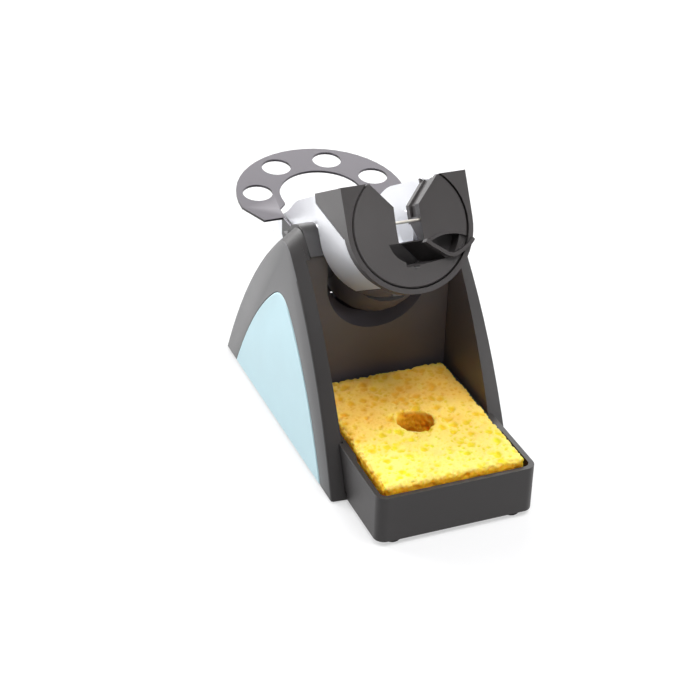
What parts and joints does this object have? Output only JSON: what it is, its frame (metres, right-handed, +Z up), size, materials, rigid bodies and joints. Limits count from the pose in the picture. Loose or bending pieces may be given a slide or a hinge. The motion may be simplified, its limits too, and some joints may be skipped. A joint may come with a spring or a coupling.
{
  "type": "soldering iron stand",
  "caption": "Bench rest for a soldering iron: tilting iron holder between two side panels, a pull-out sponge tray in front and a rack for spare tips behind.",
  "frame": {"origin": "on the table, under the middle of the bounding box", "axes": "+Z up, -Y out of the front with the sponge tray, +X to the right seen from the front"},
  "size_m": [0.0732, 0.1722, 0.1126],
  "materials": {
    "charcoal_plastic": "fine grained, dark grey",
    "insert_plastic": "satin, near black",
    "accent_plastic": "satin, pale turquoise",
    "shell_plastic": "satin, light grey",
    "rack_steel": "satin dark grey",
    "steel": "bright",
    "ballast_steel": "zinc plated",
    "bush_brass": "turned",
    "rubber": "matt black",
    "sponge": "open-pored yellow cellulose sponge"
  },
  "bodies": {
    "base": {"base_body": "charcoal_plastic", "ballast_plate": "ballast_steel", "base_foot_1": "rubber", "base_foot_2": "rubber", "base_foot_3": "rubber", "base_foot_4": "rubber", "side_panel_right": "charcoal_plastic", "side_panel_left": "charcoal_plastic", "accent_panel_right": "accent_plastic", "accent_panel_left": "accent_plastic", "panel_screw_front_right": "steel", "panel_screw_front_left": "steel", "panel_screw_rear_right": "steel", "panel_screw_rear_left": "steel", "ballast_screw_1": "steel", "ballast_screw_2": "steel", "trunnion_cap_right": "charcoal_plastic", "trunnion_cap_left": "charcoal_plastic", "trunnion_bush_right": "bush_brass", "trunnion_bush_left": "bush_brass", "cap_screw_right": "steel", "cap_screw_left": "steel", "tip_rack": "rack_steel", "rack_screw_right": "steel", "rack_screw_left": "steel"},
    "holder": {"head_frame": "charcoal_plastic", "head_shell": "shell_plastic", "head_keel": "charcoal_plastic", "frame_screw_1": "steel", "frame_screw_2": "steel", "trunnion_pin_right": "steel", "trunnion_pin_left": "steel", "friction_washer_right": "steel", "friction_washer_left": "steel"},
    "insert": {"funnel_insert": "insert_plastic", "rest_pin": "steel"},
    "tray": {"sponge_tray": "charcoal_plastic", "tray_foot_right": "rubber", "tray_foot_left": "rubber"},
    "sponge_body": {"sponge": "sponge"}
  },
  "joints": [
    {"name": "head_tilt", "type": "hinge", "parent": "base", "child": "holder", "pos_m": [0, 0.00327, 0.0763], "axis": [1, 0, 0], "range_deg": [-25, 0]},
    {"name": "insert_pull", "type": "slide", "parent": "holder", "child": "insert", "axis": [0, -0.8704, 0.4924], "range_m": [0, 0.02]},
    {"name": "tray_slide", "type": "slide", "parent": "base", "child": "tray", "axis": [0, -1, 0], "range_m": [0, 0.08]},
    {"name": "sponge_lift", "type": "slide", "parent": "tray", "child": "sponge_body", "axis": [0, 0, 1], "range_m": [0, 0.02]}
  ]
}
